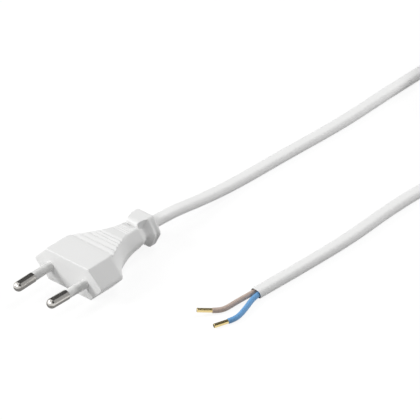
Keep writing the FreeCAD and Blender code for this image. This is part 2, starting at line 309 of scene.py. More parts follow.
# A look's values go into a shared effect, and the effect's colour, roughness and bump into the shader
def wearEffect(tree, shader, effect, spot, look):
    inputs = {label: look[key] for key, label in effectScales.items() if key in look}
    inputs.update({"Vector": spot, "Smooth": look["smooth"], "Rough": look["rough"]})
    inputs.update({"Pale": (*look["pale"], 1), "Deep": (*look["deep"], 1)})
    worn = addNode(tree, "ShaderNodeGroup", inputs, node_tree=effect).outputs
    bump = addNode(tree, "ShaderNodeBump", {
        "Height": worn["Height"], "Strength": look["bump"], "Distance": look["bumpDepth"]})
    feed(tree, worn["Color"], shader.inputs["Base Color"])
    feed(tree, worn["Roughness"], shader.inputs["Roughness"])
    feed(tree, bump.outputs["Normal"], shader.inputs["Normal"])


# Moulded plastics share the grain, each with its own colours and gloss
def mouldedPlastic(name, look):
    material, tree, shader = startMaterial(name)
    spot = addNode(tree, "ShaderNodeTexCoord").outputs["Object"]
    wearEffect(tree, shader, mouldGrain, spot, look)
    return material


# Extruded skins carry faint lines along the lead, laid out by the tube's own UV
def extrudedPlastic(name, look):
    material, tree, shader = startMaterial(name)
    spot = addNode(tree, "ShaderNodeUVMap", uv_map="skinUv").outputs["UV"]
    wearEffect(tree, shader, drawnLines, spot, look)
    return material


# Metals show fine turning marks from a stretched grain
def turnedMetal(name, look):
    material, tree, shader = startMaterial(name)
    spot = addNode(tree, "ShaderNodeTexCoord").outputs["Object"]
    stretch = addNode(tree, "ShaderNodeMapping", {"Vector": spot, "Scale": look["stretch"]})
    shader.inputs["Metallic"].default_value = 1.0
    wearEffect(tree, shader, mouldGrain, stretch.outputs["Vector"], look)
    return material


bodyPvc = mouldedPlastic("bodyPvc", {
    "pale": (0.85, 0.85, 0.845), "deep": (0.82, 0.82, 0.815), "grain": 2600.0, "mottle": 90.0,
    "smooth": 0.42, "rough": 0.56, "bump": 0.12, "bumpDepth": 0.00004})
bridgePlastic = mouldedPlastic("bridgePlastic", {
    "pale": (0.8, 0.79, 0.75), "deep": (0.74, 0.73, 0.69), "grain": 2200.0, "mottle": 150.0,
    "smooth": 0.4, "rough": 0.6, "bump": 0.15, "bumpDepth": 0.00005})
sleevePlastic = mouldedPlastic("sleevePlastic", {
    "pale": (0.84, 0.84, 0.83), "deep": (0.8, 0.8, 0.79), "grain": 3200.0, "mottle": 300.0,
    "smooth": 0.3, "rough": 0.42, "bump": 0.08, "bumpDepth": 0.00003})
tiePlastic = mouldedPlastic("tiePlastic", {
    "pale": (0.82, 0.82, 0.81), "deep": (0.76, 0.76, 0.75), "grain": 2400.0, "mottle": 200.0,
    "smooth": 0.45, "rough": 0.65, "bump": 0.2, "bumpDepth": 0.00005})
jacketPvc = extrudedPlastic("jacketPvc", {
    "pale": (0.9, 0.9, 0.895), "deep": (0.88, 0.88, 0.875), "across": 6.0, "along": 6.0,
    "smooth": 0.44, "rough": 0.56, "bump": 0.03, "bumpDepth": 0.00004})
# Painted shade: the lead's open mouth, pocket walls and pocket floor are coloured near black for the shade
# inside the cut end
jacketBoreShade = extrudedPlastic("jacketBoreShade", {
    "pale": (0.08, 0.08, 0.09), "deep": (0.05, 0.05, 0.06), "across": 6.0, "along": 60.0,
    "smooth": 0.6, "rough": 0.8, "bump": 0.1, "bumpDepth": 0.00006})
brownColours = {"pale": (0.6, 0.49, 0.43), "deep": (0.52, 0.41, 0.35)}
blueColours = {"pale": (0.21, 0.45, 0.77), "deep": (0.15, 0.37, 0.69)}
skinLook = {
    "across": 3.0, "along": 120.0, "smooth": 0.35, "rough": 0.5, "bump": 0.12, "bumpDepth": 0.00004}
solidLook = {
    "grain": 3000.0, "mottle": 300.0, "smooth": 0.35, "rough": 0.5, "bump": 0.1, "bumpDepth": 0.00003}
brownSkin = extrudedPlastic("brownSkin", {**brownColours, **skinLook})
blueSkin = extrudedPlastic("blueSkin", {**blueColours, **skinLook})
brownSolid = mouldedPlastic("brownSolid", {**brownColours, **solidLook})
blueSolid = mouldedPlastic("blueSolid", {**blueColours, **solidLook})
pinPlating = turnedMetal("pinPlating", {
    "pale": (0.68, 0.66, 0.63), "deep": (0.58, 0.56, 0.53), "grain": 900.0, "mottle": 160.0,
    "stretch": (1.0, 6.0, 1.0), "smooth": 0.14, "rough": 0.22, "bump": 0.012, "bumpDepth": 0.00003})
endSleeveBrass = turnedMetal("endSleeveBrass", {
    "pale": (0.84, 0.68, 0.34), "deep": (0.76, 0.6, 0.28), "grain": 700.0, "mottle": 240.0,
    "stretch": (1.0, 3.0, 1.0), "smooth": 0.2, "rough": 0.28, "bump": 0.005, "bumpDepth": 0.00003})
# Painted shade: the end sleeve's open, widened mouth is coloured near black for the shade inside it
sleeveMouthShade = turnedMetal("sleeveMouthShade", {
    "pale": (0.1, 0.08, 0.05), "deep": (0.06, 0.05, 0.03), "grain": 1400.0, "mottle": 320.0,
    "stretch": (1.0, 1.0, 1.0), "smooth": 0.6, "rough": 0.8, "bump": 0.02, "bumpDepth": 0.00003})
copperStrand = turnedMetal("copperStrand", {
    "pale": (0.52, 0.29, 0.18), "deep": (0.38, 0.2, 0.12), "grain": 2400.0, "mottle": 600.0,
    "stretch": (1.0, 1.0, 1.0), "smooth": 0.25, "rough": 0.45, "bump": 0.1, "bumpDepth": 0.00002})
print("materials ready:", len(bpy.data.materials))


# Lead: one flat tube from inside the plug, along the floor, through the coil and back to the bare end
lead = {
    "width": 5.6,
    "thickness": 3.5,
    "realLength": 1.5,                      # metres
    "jacketGrip": 9.0,                      # length held inside the rim and neck
    "jacketWall": 0.55,
    "pocketDepth": 3.0,
    "mouthWall": 0.24,                      # the cut end is opened a little round the cores
    "mouthDepth": 0.9,
    "endEdge": 0.06,
    "resolution": 9,
    "arcSteps": 9,
}
coil = {
    "meanRadius": 28.2,
    "pitch": 3.7,
    "turns": 6.5,
    "layers": 2,
    "entryX": 1.9,
    "centreY": 206.5,
    "tail": 22.0,
    "pointsPerTurn": 16,
    "crossover": 0.3,                       # share of a turn in which the lead climbs to the upper layer
    "tieAngle": 90.0,
    "tieLift": 1.62,
    "tieLiftSpread": 22.0,                  # degrees
    "entryTwist": 60.0,
}
coilTravel = coil["pitch"] * coil["turns"] / coil["layers"]
coilOuter = coil["meanRadius"] + coilTravel / 2
coilInner = coil["meanRadius"] - coilTravel / 2
coilX = coil["entryX"] + coilOuter
coilExitX = coilX + coilOuter
tailY = coil["centreY"] - coil["tail"]
leadZ = lead["thickness"] / 2
plugRun = [
    (0, exitY - lead["jacketGrip"], midZ),
    (0, 40.0, midZ),
    (0.1, 59.0, 3.6),
    (0.2, 77.5, leadZ),
    (1.1, 104.0, leadZ),
    (2.9, 134.0, leadZ),
    (coil["entryX"], 162.0, leadZ),
    (coil["entryX"], tailY, leadZ),
]
freeRun = [
    (coilExitX, tailY, leadZ),
    (coilExitX, 170.0, leadZ),
    (64.0, 148.0, leadZ),
    (59.0, 126.0, leadZ),
    (58.2, 102.0, leadZ),
    (59.9, 79.0, leadZ),
    (59.1, 53.0, leadZ),
    (57.7, 28.9, leadZ),
]


# The turns stand on edge: inwards in the lower layer, then outwards in the upper one
def coilControls():
    count = round(coil["turns"] * coil["pointsPerTurn"])
    middle = coil["turns"] / 2
    hold = coil["crossover"] / 2
    spread = 1 / math.cos(math.pi / coil["pointsPerTurn"])   # the spline runs inside its control points
    controls = []
    for i in range(count + 1):
        turn = coil["turns"] * i / count
        angle = 180.0 - 360.0 * turn
        out = max(0.0, abs(turn - middle) - hold) / (middle - hold)
        radius = (coilInner + coilTravel * out) * spread
        climb = softStep((turn - middle + hold) / (2 * hold))
        away = (angle - coil["tieAngle"] + 180.0) % 360.0 - 180.0
        lift = coil["tieLift"] * math.exp(-(away / coil["tieLiftSpread"]) ** 2)
        a = math.radians(angle)
        x = coilX + radius * math.cos(a)
        y = coil["centreY"] + radius * math.sin(a)
        controls.append((x, y, lead["width"] * (0.5 + climb) + lift))
    return controls


# Two half circles, with a few points on the flats between them
def stadiumOutline(width, thickness, steps):
    reach = (width - thickness) / 2
    r = thickness / 2
    outline = []
    for side in (1, -1):
        for i in range(steps + 1):
            a = math.pi * i / steps - math.pi / 2
            outline.append((side * (reach + r * math.cos(a)), side * r * math.sin(a)))
        for share in (0.25, 0.5, 0.75):
            outline.append((side * reach * (1 - 2 * share), side * r))
    return outline


# The lead's outline, drawn in by an inset
def leadOutline(inset=0.0):
    return stadiumOutline(lead["width"] - 2 * inset, lead["thickness"] - 2 * inset, lead["arcSteps"])


def flatRing(centre, way, twist, outline):
    side, up = crossAxes(way)
    c = math.cos(math.radians(twist))
    s = math.sin(math.radians(twist))
    broad = side * c + up * s
    thin = up * c - side * s
    return [centre + broad * a + thin * b for a, b in outline]


coilRun = coilControls()
leadControls = plugRun + coilRun + freeRun
leadTwists = [0.0] * len(plugRun) + [coil["entryTwist"]]
leadTwists += [90.0] * (len(coilRun) - 1) + [0.0] * len(freeRun)
leadLine = splineLine(leadControls, lead["resolution"])
twistLine = [p.x for p in splineLine([(t, 0, 0) for t in leadTwists], lead["resolution"])]
leadLengths = lineLengths(leadLine)


def makeLead():
    ways = tangents(leadLine)
    outline = leadOutline()
    bore = leadOutline(lead["jacketWall"])
    rings = [flatRing(*place, outline) for place in zip(leadLine, ways, twistLine)]
    along = [length * mm for length in leadLengths]
    end = leadLine[-1]
    way = ways[-1]
    rings[-1] = flatRing(end - way * lead["endEdge"], way, 0.0, outline)
    rings.append(flatRing(end, way, 0.0, leadOutline(lead["endEdge"])))
    boreStart = len(rings) * len(outline)
    rings.append(flatRing(end, way, 0.0, leadOutline(lead["mouthWall"])))
    rings.append(flatRing(end - way * lead["mouthDepth"], way, 0.0, bore))
    rings.append(flatRing(end - way * lead["pocketDepth"], way, 0.0, bore))
    plugCap = (len(rings) - 1) * len(outline)    # the two caps come after all strips, the bore's floor last
    along += along[-1:] * (len(rings) - len(along))
    obj = ringsToMesh("leadJacket", rings, along=along)
    obj.data.materials.append(jacketPvc)
    obj.data.materials.append(jacketBoreShade)
    # The mouth, the pocket walls and the bore's floor take the painted shade
    for face in obj.data.polygons:
        if face.index >= boreStart and face.index != plugCap:
            face.material_index = 1
    return obj


leadJacket = makeLead()
print("lead length", round(leadLengths[-1] * mm, 4), "m, points", len(leadLine))


# Bare end: two cores in end sleeves, with their strands inside
bareEnd = {
    "coreDiameter": 2.1,
    "coreGap": 0.1,
    "straight": 4.8,
    "coreSides": 28,
    "coreEdge": 0.1,
    "conductorDiameter": 1.1,
    "sleeveDiameter": 1.7,
    "sleeveLength": 5.8,
    "sleeveRecess": 0.6,
    "sleeveEdge": 0.07,
    "sleeveLip": 0.14,                      # wall left at the sleeve's open, widened mouth
    "mouthDepth": 0.5,
    "sleeveSides": 40,
    "resolution": 14,
    "strandCount": 19,
    "firstRing": 6,                         # strands round the middle one, and half of the outer ring
    "strandDiameter": 0.21,
    "strandSides": 10,
    "strandSteps": 14,
    "strandTwist": 0.55,                    # radians per millimetre
}
jacketEnd = Vector(freeRun[-1])
jacketWay = (jacketEnd - Vector(freeRun[-2])).normalized()
jacketSide = Vector((-jacketWay.y, jacketWay.x, 0))
pocketFloor = jacketEnd - jacketWay * lead["pocketDepth"]
coreOffset = (bareEnd["coreDiameter"] + bareEnd["coreGap"]) / 2
coreZ = bareEnd["coreDiameter"] / 2
brownRun = [
    pocketFloor - jacketSide * coreOffset,
    pocketFloor - jacketSide * coreOffset + jacketWay * bareEnd["straight"],
    (55.5, 20.6, 1.3),
    (55.2, 15.8, coreZ),
    (54.1, 12.9, coreZ),
    (52.5, 11.05, 1.4),
]
blueRun = [
    pocketFloor + jacketSide * coreOffset,
    pocketFloor + jacketSide * coreOffset + jacketWay * bareEnd["straight"],
    (60.9, 20.4, 1.3),
    (62.3, 15.3, coreZ),
    (62.3, 12.1, coreZ),
    (61.55, 10.0, coreZ),
]


def roundRing(centre, way, radius, sides):
    side, up = crossAxes(way)
    spots = [2 * math.pi * i / sides for i in range(sides)]
    return [centre + side * (radius * math.cos(a)) + up * (radius * math.sin(a)) for a in spots]


def makeCore(name, run, skin):
    line = splineLine(run, bareEnd["resolution"])
    ways = tangents(line)
    radius = bareEnd["coreDiameter"] / 2
    sides = bareEnd["coreSides"]
    edge = bareEnd["coreEdge"]
    rings = [roundRing(p, w, radius, sides) for p, w in zip(line, ways)]
    rings[-1] = roundRing(line[-1] - ways[-1] * edge, ways[-1], radius, sides)
    rings.append(roundRing(line[-1], ways[-1], radius - edge, sides))
    along = [length * mm for length in lineLengths(line)]
    obj = ringsToMesh(name, rings, along=along + along[-1:])
    obj.data.materials.append(skin)
    return obj


# A frame at the end of a core, with +Y along the end sleeve
def endFrame(run):
    start = Vector(run[-1])
    way = (start - Vector(run[-2])).normalized()
    side, up = crossAxes(way)
    place = Matrix((side, way, up)).transposed().to_4x4()
    place.translation = start * mm
    return place


def makeEndSleeve(name, run):
    r = bareEnd["sleeveDiameter"] / 2
    bore = bareEnd["conductorDiameter"] / 2
    length = bareEnd["sleeveLength"]
    edge = bareEnd["sleeveEdge"]
    stations = [(0.0, bore), (0.0, r - edge), (edge, r), (2 * edge, r)]
    stations += [(length - 2 * edge, r), (length - edge, r), (length, r - edge)]
    mouthStart = len(stations)
    stations += [(length, r - bareEnd["sleeveLip"]), (length - bareEnd["mouthDepth"], bore)]
    sides = bareEnd["sleeveSides"]
    obj = ringsToMesh(name, turnedRings(stations, sides), False, False, loopRings=True, sharpAngle=50)
    obj.data.transform(endFrame(run))
    obj.data.materials.append(endSleeveBrass)
    obj.data.materials.append(sleeveMouthShade)
    # The mouth's faces take the painted shade
    for face in obj.data.polygons:
        if face.index >= mouthStart * sides:
            face.material_index = 1
    return obj


# Strands: a point for each wire in rings of 1, 6 and 12, a thin rod on each, then a twist along the bundle
def makeStrandTree():
    tree, add, calc, ins, outs = shapeTree("strandBundle", {
        "Count": 19, "Strand Radius": 0.0001, "Ring Step": 0.0002, "Length": 0.005, "Twist": 500.0})
    firstRing = bareEnd["firstRing"]
    index = add("GeometryNodeInputIndex")
    inSecond = calc("GREATER_THAN", index, firstRing + 0.5)
    inFirst = calc("GREATER_THAN", index, 0.5)
    ring = calc("ADD", inFirst, inSecond)
    perRing = calc("ADD", calc("MULTIPLY", inSecond, firstRing), firstRing)
    angle = calc("DIVIDE", calc("MULTIPLY", index, 2 * math.pi), perRing)
    radius = calc("MULTIPLY", ring, ins["Ring Step"])
    x = calc("MULTIPLY", radius, calc("COSINE", angle))
    z = calc("MULTIPLY", radius, calc("SINE", angle))
    spot = add("ShaderNodeCombineXYZ", {0: x, 2: z})
    points = add("GeometryNodePoints", {"Count": ins["Count"], "Position": spot})
    rod = add("GeometryNodeMeshCylinder", {
        "Vertices": bareEnd["strandSides"], "Side Segments": bareEnd["strandSteps"],
        "Radius": ins["Strand Radius"], "Depth": ins["Length"]})
    half = calc("MULTIPLY", ins["Length"], 0.5)
    shift = add("ShaderNodeCombineXYZ", {1: half})
    laid = add("GeometryNodeTransform", {
        "Geometry": rod.outputs["Mesh"], "Translation": shift, "Rotation": (-math.pi / 2, 0, 0)})
    placed = add("GeometryNodeInstanceOnPoints", {"Points": points, "Instance": laid})
    real = add("GeometryNodeRealizeInstances", {0: placed})
    here = add("GeometryNodeInputPosition")
    alongY = add("ShaderNodeSeparateXYZ", {0: here}).outputs["Y"]
    turn = calc("MULTIPLY", alongY, ins["Twist"])
    turned = add("ShaderNodeVectorRotate", {"Vector": here, "Angle": turn}, rotation_type="Y_AXIS")
    moved = add("GeometryNodeSetPosition", {"Geometry": real, "Position": turned})
    return closeTree(tree, ins, outs, moved)


strandTree = makeStrandTree()


def makeStrands(name, run):
    obj = linkMesh(name, bpy.data.meshes.new(name))
    step = (bareEnd["conductorDiameter"] - bareEnd["strandDiameter"]) / 4
    addTree(obj, strandTree, {
        "Count": bareEnd["strandCount"],
        "Strand Radius": bareEnd["strandDiameter"] / 2 * mm,
        "Ring Step": step * mm,
        "Length": (bareEnd["sleeveLength"] - bareEnd["sleeveRecess"]) * mm,
        "Twist": bareEnd["strandTwist"] / mm,
        "Material": copperStrand,
    })
    bakeModifiers(obj)
    smoothMesh(obj.data, sharpAngle=40)
    obj.data.transform(endFrame(run))
    return obj


brownCore = makeCore("brownCore", brownRun, brownSkin)
blueCore = makeCore("blueCore", blueRun, blueSkin)
brownEndSleeve = makeEndSleeve("brownEndSleeve", brownRun)
blueEndSleeve = makeEndSleeve("blueEndSleeve", blueRun)
brownStrands = makeStrands("brownStrands", brownRun)
blueStrands = makeStrands("blueStrands", blueRun)
print("bare end ready")


# Plug body: six-sided rounded sections from the face through the neck to the rim
plug = {
    "width": bodyHigh.x - bodyLow.x,
    "height": bodyHigh.z - bodyLow.z,
    "length": bodyHigh.y - bodyLow.y,
    "flatWidth": 22.4,
    "sideRound": 1.2,
    "flatRound": 1.0,
    "faceRound": 0.4,
    "blockLength": 11.4,
    "blockEase": 0.7,                       # length over which the kink behind the block is softened
    "neckDepth": 33.0,
    "neckWidth": 13.4,
    "neckFlat": 7.2,
    "neckHeight": 9.1,
    "neckSideRound": 2.2,
    "neckFlatRound": 1.5,
    "sideSweep": 2.75,
    "flatBend": 1.35,
    "flatSweep": 2.0,
    "coveDepth": 32.9,                      # the neck narrows a little in front of the rim
    "coveDrop": 0.95,
    "flareDepth": 35.6,
    "flareSweep": 1.5,
    "rimDepth": 38.4,
    "rimWidth": 15.1,
    "rimHeight": 12.8,
    "rimFlat": 8.4,
    "rimSideRound": 2.6,
    "rimFlatRound": 1.4,
    "rimFrontRound": 0.3,
    "rimWaist": 0.45,                       # shallow hollow in the rim's wall behind its lip
    "rimRearRound": 1.1,
    "easeSteps": 4,
    "cornerSteps": 7,
    "flatSteps": 36,
    "sideSteps": 14,
    "sideGather": 1.8,                      # draws the points of the sides towards the broad faces
    "seatClear": 0.08,                      # room round the lead where it leaves the rim
    "seatDepth": 1.2,
    "seatPast": 1.0,
}
pad = {                                     # rounded tongue on top of the neck, in front of the rim
    "start": 34.0,
    "top": 6.4,                             # above the plug's middle
    "step": 0.4,                            # share of its rise in the steep front
    "nose": 2.0,                            # length in which it comes to its full height
    "frontHalf": 2.2,                       # half width of its crown
    "rearHalf": 3.9,
    "bend": 0.7,
    "groove": 0.85,
    "grooveDrop": 1.3,
    "grooveHalf": 1.9,
    "grooveSoft": 0.4,
}
ribs = {
    "wide": {"start": 12.8, "pitch": 2.95, "count": 2, "drop": 0.85, "land": 0.5},
    "narrow": {"start": 18.7, "pitch": 1.88, "count": 3, "drop": 0.6, "land": 0.5},
    "fine": {"start": 27.7, "pitch": 1.05, "count": 4, "drop": 0.28, "land": 0.45},
    "soft": 0.12,
    "wall": 0.14,                           # run of the steep front of each rib
}
ringSteps = {                               # how close the body's rings stand along its length
    "faceCount": 8,
    "block": 0.9,
    "ease": 0.15,
    "rib": 0.07,
    "gap": 0.3,
    "neck": 0.2,
    "padFront": 0.04,
    "flare": 0.15,
    "rim": 0.12,
    "rearCount": 9,
    "afterFace": 0.8,                       # lengths at which the spacing changes
    "beforeEase": 0.6,
    "beforeRib": 0.1,
    "afterRib": 0.2,
    "afterPadStart": 0.6,
}


# A section is its width, flat width, height, and the rounds of its sides and of its flats
def gripSection(depth):
    share = clamp((depth - plug["blockLength"]) / (plug["neckDepth"] - plug["blockLength"]))
    sides = (1 - share) ** plug["sideSweep"]
    flats = (1 - share ** plug["flatBend"]) ** plug["flatSweep"]
    return (
        between(plug["neckWidth"], plug["width"], sides),
        between(plug["neckFlat"], plug["flatWidth"], flats),
        between(plug["height"], plug["neckHeight"], share),
        between(plug["sideRound"], plug["neckSideRound"], share),
        between(plug["flatRound"], plug["neckFlatRound"], share),
    )


def flareSection(depth):
    share = clamp((depth - plug["flareDepth"]) / (plug["rimDepth"] - plug["flareDepth"]))
    cove = softStep((depth - plug["coveDepth"]) / (plug["flareDepth"] - plug["coveDepth"]))
    drop = 2 * cove * plug["coveDrop"]
    width, flat, height, sideRound, flatRound = gripSection(plug["neckDepth"])
    neck = (width - drop, flat, height - drop, sideRound, flatRound)
    behind = (depth - plug["rimDepth"]) / (plug["length"] - plug["rimRearRound"] - plug["rimDepth"])
    waist = plug["rimWaist"] * math.sin(clamp(behind) * math.pi) ** 2
    rim = (plug["rimWidth"] - 2 * waist, plug["rimFlat"], plug["rimHeight"],
           plug["rimSideRound"], plug["rimFlatRound"])
    return tuple(between(a, b, share ** plug["flareSweep"]) for a, b in zip(neck, rim))


# The kink behind the block and the rim's front edge are eased by averaging over a short length
def eased(sectionAt, depth, reach):
    steps = plug["easeSteps"]
    sections = [sectionAt(max(0.0, depth + reach * k / steps)) for k in range(-steps, steps + 1)]
    return tuple(sum(values) / len(values) for values in zip(*sections))


# Height of the neck's top above the plug's middle: a small groove, then the arched pad
def padHeight(x, depth, height, section):
    if depth < pad["start"]:
        along = (depth - pad["start"] + pad["groove"]) / pad["groove"]
        across = softStep((pad["grooveHalf"] - abs(x)) / pad["grooveSoft"])
        return height - pad["grooveDrop"] * across * math.sin(max(0.0, along) * math.pi) ** 0.5
    run = min(1.0, (depth - pad["start"]) / (plug["rimDepth"] - pad["start"]))
    crown = between(pad["frontHalf"], pad["rearHalf"], run ** pad["bend"])
    foot = section[1] / 2
    if abs(x) >= foot:
        return height
    nose = min(1.0, (depth - pad["start"]) / pad["nose"])
    rise = between(pad["step"], 1.0, math.sqrt(1 - (1 - nose) ** 2))
    fall = max(0.0, abs(x) - crown) / (foot - crown)
    return max(height, between(section[2] / 2, pad["top"], rise * math.cos(fall * math.pi / 2)))


# Six straight sides joined by arcs, with the pad and its groove on the upper ones
def sixSidedRing(depth, section, inset=0.0):
    width, flat, height, sideRound, flatRound = section
    halfF = flat / 2
    halfH = height / 2
    reach = width / 2 - halfF - sideRound
    keep = 1 - (sideRound / halfH) ** 2
    side = halfF + (reach + math.sqrt(reach ** 2 - keep * (reach ** 2 - sideRound ** 2))) / keep
    corners = [(side, 0, sideRound), (halfF, halfH, flatRound), (-halfF, halfH, flatRound),
               (-side, 0, sideRound), (-halfF, -halfH, flatRound), (halfF, -halfH, flatRound)]
    arcs = []
    for i, (x, z, r) in enumerate(corners):
        here = Vector((x, z))
        toBefore = (Vector(corners[i - 1][:2]) - here).normalized()
        toAfter = (Vector(corners[(i + 1) % 6][:2]) - here).normalized()
        half = toBefore.angle(toAfter) / 2
        centre = here + (toBefore + toAfter).normalized() * (r / math.sin(half))
        out = -(toBefore + toAfter).normalized()
        sweep = math.pi - 2 * half
        base = math.atan2(out.y, out.x) - sweep / 2
        steps = plug["cornerSteps"]
        spots = [base + sweep * k / steps for k in range(steps + 1)]
        arcs.append([centre + Vector((math.cos(a), math.sin(a))) * (r - inset) for a in spots])
    points = []
    for i, arc in enumerate(arcs):
        points += arc
        nextStart = arcs[(i + 1) % 6][0]
        if i in (1, 4):
            shares = [k / plug["flatSteps"] for k in range(1, plug["flatSteps"])]
        else:
            steps = plug["sideSteps"]
            shares = [(k / steps) ** plug["sideGather"] for k in range(1, steps)]
            if i in (0, 3):                 # the ribs end near the broad faces, so points gather there
                shares = [1 - s for s in reversed(shares)]
        points += [arc[-1].lerp(nextStart, s) for s in shares]
    onPad = pad["start"] - pad["groove"] < depth < plug["rimDepth"] + plug["rimFrontRound"]
    ring = []
    for p in points:
        height = padHeight(p.x, depth, p.y, section) if onPad and p.y > halfH / 2 else p.y
        ring.append(Vector((p.x, faceY + depth, midZ + height)))
    return ring


def evenSteps(start, end, step):
    count = max(1, round((end - start) / step))
    return [between(start, end, k / count) for k in range(count)]


def roundSteps(radius, count):
    angles = [math.pi / 2 * k / count for k in range(count + 1)]
    return [(radius * (1 - math.cos(a)), radius * (1 - math.sin(a))) for a in angles]


def bandEnd(key):
    return ribs[key]["start"] + ribs[key]["pitch"] * ribs[key]["count"] + ringSteps["afterRib"]


def makeBodyRings():
    step = ringSteps
    rings = []
    for depth, inset in roundSteps(plug["faceRound"], step["faceCount"]):
        rings.append(sixSidedRing(depth, gripSection(0), inset))
    easeStart = plug["blockLength"] - step["beforeEase"]
    wideStart = ribs["wide"]["start"] - step["beforeRib"]
    fineStart = ribs["fine"]["start"] - step["beforeRib"]
    grooveStart = pad["start"] - pad["groove"]
    depths = evenSteps(plug["faceRound"] + step["afterFace"], easeStart, step["block"])
    depths += evenSteps(easeStart, wideStart, step["ease"])
    depths += evenSteps(wideStart, bandEnd("narrow"), step["rib"])
    depths += evenSteps(bandEnd("narrow"), fineStart, step["gap"])
    depths += evenSteps(fineStart, bandEnd("fine"), step["rib"])
    depths += evenSteps(bandEnd("fine"), grooveStart, step["neck"])
    rings += [sixSidedRing(d, eased(gripSection, d, plug["blockEase"])) for d in depths]
    padFront = pad["start"] + step["afterPadStart"]
    rimEdge = plug["rimDepth"] - plug["rimFrontRound"]
    depths = evenSteps(grooveStart, padFront, step["padFront"])
    depths += evenSteps(padFront, rimEdge, step["flare"])
    rings += [sixSidedRing(d, flareSection(d)) for d in depths]
    depths = evenSteps(rimEdge, plug["length"] - plug["rimRearRound"], step["rim"])
    rings += [sixSidedRing(d, eased(flareSection, d, plug["rimFrontRound"])) for d in depths]
    for depth, inset in reversed(roundSteps(plug["rimRearRound"], step["rearCount"])):
        rings.append(sixSidedRing(plug["length"] - depth, flareSection(plug["length"]), inset))
    return rings


# Saw-tooth ribs pressed into both broad faces: each falls at its front and rises to a narrow land
def makeRibTree():
    tree, add, calc, ins, outs = shapeTree("gripRibs", {
        "Geometry": "Geometry", "Start": 0.0, "Pitch": 0.003, "Count": 2, "Drop": 0.001, "Land": 0.0005,
        "Wall": 0.0001, "Soft": 0.0001, "Mid Height": 0.0, "Half Height": 0.0, "Fall Start": 0.0,
        "Fall": 0.0})
    here = add("GeometryNodeInputPosition")
    parts = add("ShaderNodeSeparateXYZ", {0: here}).outputs
    depth = calc("SUBTRACT", parts["Y"], ins["Start"])
    span = calc("MULTIPLY", ins["Pitch"], ins["Count"])
    after = calc("GREATER_THAN", depth, 0.0)
    before = calc("LESS_THAN", depth, span)
    inside = calc("MULTIPLY", after, before)
    local = calc("MODULO", depth, ins["Pitch"])
    ramp = calc("SUBTRACT", ins["Pitch"], ins["Land"])
    rise = calc("MINIMUM", calc("DIVIDE", local, ramp), 1.0)
    front = calc("MINIMUM", calc("DIVIDE", local, ins["Wall"]), 1.0)
    depthShare = calc("MULTIPLY", calc("SUBTRACT", 1.0, rise), front)
    cut = calc("MULTIPLY", calc("MULTIPLY", depthShare, ins["Drop"]), inside)
    past = calc("MAXIMUM", calc("SUBTRACT", parts["Y"], ins["Fall Start"]), 0.0)
    top = calc("SUBTRACT", ins["Half Height"], calc("MULTIPLY", past, ins["Fall"]))
    limit = calc("SUBTRACT", top, cut)
    up = calc("SUBTRACT", parts["Z"], ins["Mid Height"])
    size = calc("ABSOLUTE", up)
    lowered = calc("SMOOTH_MIN", size, limit, ins["Soft"])
    offset = calc("MULTIPLY", lowered, calc("SIGN", up))
    height = calc("ADD", ins["Mid Height"], offset)
    spot = add("ShaderNodeCombineXYZ", {0: parts["X"], 1: parts["Y"], 2: height})
    some = calc("GREATER_THAN", cut, 0.0)
    moved = add("GeometryNodeSetPosition", {
        "Geometry": ins["Geometry"], "Selection": some, "Position": spot})
    return closeTree(tree, ins, outs, moved)


def pressRibs(obj):
    tree = makeRibTree()
    fallStart = plug["blockLength"]
    fall = (plug["height"] - plug["neckHeight"]) / 2 / (plug["neckDepth"] - fallStart)
    for key in ("wide", "narrow", "fine"):
        band = ribs[key]
        addTree(obj, tree, {
            "Start": (faceY + band["start"]) * mm,
            "Pitch": band["pitch"] * mm,
            "Count": band["count"],
            "Drop": band["drop"] * mm,
            "Land": band["land"] * mm,
            "Wall": ribs["wall"] * mm,
            "Soft": ribs["soft"] * mm,
            "Mid Height": midZ * mm,
            "Half Height": plug["height"] / 2 * mm,
            "Fall Start": (faceY + fallStart) * mm,
            "Fall": fall,
            "Material": bodyPvc,
        })
    bakeModifiers(obj)


# Pins: turned pieces on axes that lean towards each other
pins = {
    "diameter": 4.0,
    "length": 19.0,
    "spacingFace": 18.6,
    "spacingTip": 17.5,
    "coreDiameter": 2.8,
    "sleeveDiameter": 3.6,
    "sleeveLength": 9.5,
    "bridgeDepth": 1.6,
    "bridgeLength": 5.0,
    "flangeDiameter": 5.0,
    "flangeLength": 1.5,
    "shankDiameter": 3.2,
    "shankLength": 1.5,
    "crimpDiameter": 3.0,
    "crimpLength": 4.5,
    "crimpBore": 1.1,
    "crimpBoreDepth": 4.0,
    "boreEdge": 0.08,
    "edge": 0.12,
    "domeSteps": 16,
    "poleRadius": 0.001,                    # of the tiny cap at a dome's tip or a bore's floor
    "segments": 64,
}
pinLean = math.atan2((pins["spacingFace"] - pins["spacingTip"]) / 2, pins["length"])
flangeBack = pins["bridgeDepth"] + pins["bridgeLength"]
flangeFront = flangeBack - pins["flangeLength"]


def pinFrame(side):
    place = Matrix.Rotation(-side * pinLean, 4, "Z")
    place.translation = Vector((side * pins["spacingFace"] / 2, faceY, midZ)) * mm
    return place


